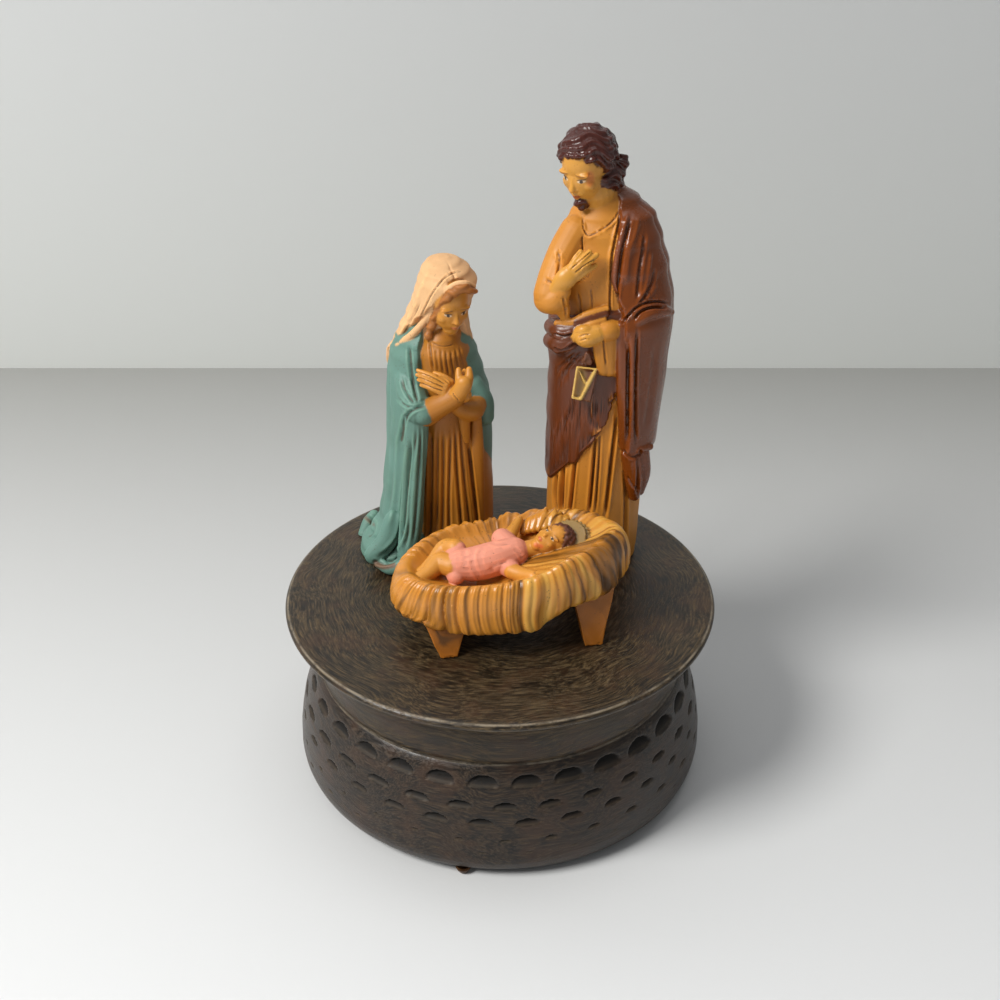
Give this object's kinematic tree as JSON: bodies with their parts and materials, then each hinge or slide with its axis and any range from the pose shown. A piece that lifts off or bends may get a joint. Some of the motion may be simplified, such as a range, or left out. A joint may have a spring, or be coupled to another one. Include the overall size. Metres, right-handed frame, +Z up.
{
  "type": "nativity music box",
  "caption": "Wind-up music box: a dimpled drum with a turning plate that carries two standing figures and a manger.",
  "frame": {"origin": "centre of the drum on the surface that the feet stand on", "axes": "+Z up along the turntable's axis, -Y toward the front, where the manger lies"},
  "size_m": [0.12, 0.1198, 0.179],
  "materials": {
    "wood_look_plastic": "dark brown moulded plastic with a brushed wood-look grain",
    "foot_metal": "dull brown tack heads",
    "mother_paint": "hand-painted moulded figure, teal mantle, cream veil, mustard tunic, brown antiquing",
    "father_paint": "hand-painted moulded figure, ochre tunic, glossy brown mantle",
    "straw_paint": "hand-painted moulded straw with gold ridges",
    "movement_brass": "plain turned and cut brass",
    "movement_steel": "plain steel",
    "movement_casting": "plain die casting"
  },
  "bodies": {
    "base": {"bottom_cover": "wood_look_plastic", "comb": "movement_steel", "comb_base": "movement_casting", "comb_screw_1": "movement_steel", "comb_screw_2": "movement_steel", "cover_screw_1": "movement_steel", "cover_screw_2": "movement_steel", "cover_screw_3": "movement_steel", "cylinder_bracket": "movement_casting", "drum_housing": "wood_look_plastic", "foot_1": "foot_metal", "foot_2": "foot_metal", "foot_3": "foot_metal", "governor_frame": "movement_casting", "movement_bedplate": "movement_casting", "movement_screw_1": "movement_steel", "movement_screw_2": "movement_steel", "movement_screw_3": "movement_steel", "movement_screw_4": "movement_steel"},
    "turntable": {"turntable": "wood_look_plastic", "turntable_spindle": "movement_steel", "spring_barrel": "movement_brass", "barrel_lid": "movement_brass", "mainspring": "movement_steel", "mother_figure": "mother_paint", "father_figure": "father_paint", "manger_with_infant": "straw_paint"},
    "winding_key": {"winding_key": "movement_steel", "winding_arbor": "movement_steel"},
    "music_cylinder": {"pinned_cylinder": "movement_brass", "cylinder_shaft": "movement_steel", "cylinder_pinion": "movement_brass", "cylinder_wheel": "movement_brass"},
    "governor_train": {"governor_arbor": "movement_steel", "governor_pinion": "movement_brass", "worm_wheel": "movement_brass"},
    "governor_fan": {"governor_worm": "movement_steel"}
  },
  "joints": [
    {"name": "turntable_spin", "type": "hinge", "parent": "base", "child": "turntable", "pos_m": [0, 0, 0.0526], "axis": [0, 0, 1], "continuous": true},
    {"name": "key_wind", "type": "hinge", "parent": "base", "child": "winding_key", "pos_m": [0, 0, 0.009], "axis": [0, 0, 1], "continuous": true},
    {"name": "cylinder_spin", "type": "hinge", "parent": "base", "child": "music_cylinder", "pos_m": [0.025, 0, 0.0272], "axis": [1, 0, 0], "continuous": true},
    {"name": "governor_spin", "type": "hinge", "parent": "base", "child": "governor_train", "pos_m": [0.0346, 0.00948, 0.0272], "axis": [1, 0, 0], "continuous": true},
    {"name": "fan_spin", "type": "hinge", "parent": "base", "child": "governor_fan", "pos_m": [0.0374, 0.01528, 0.0272], "axis": [0, 0, 1], "continuous": true}
  ],
  "couplings": [
    {"joint": "cylinder_spin", "follows": "turntable_spin", "ratio": 3},
    {"joint": "governor_spin", "follows": "turntable_spin", "ratio": -12},
    {"joint": "fan_spin", "follows": "turntable_spin", "ratio": 48}
  ]
}
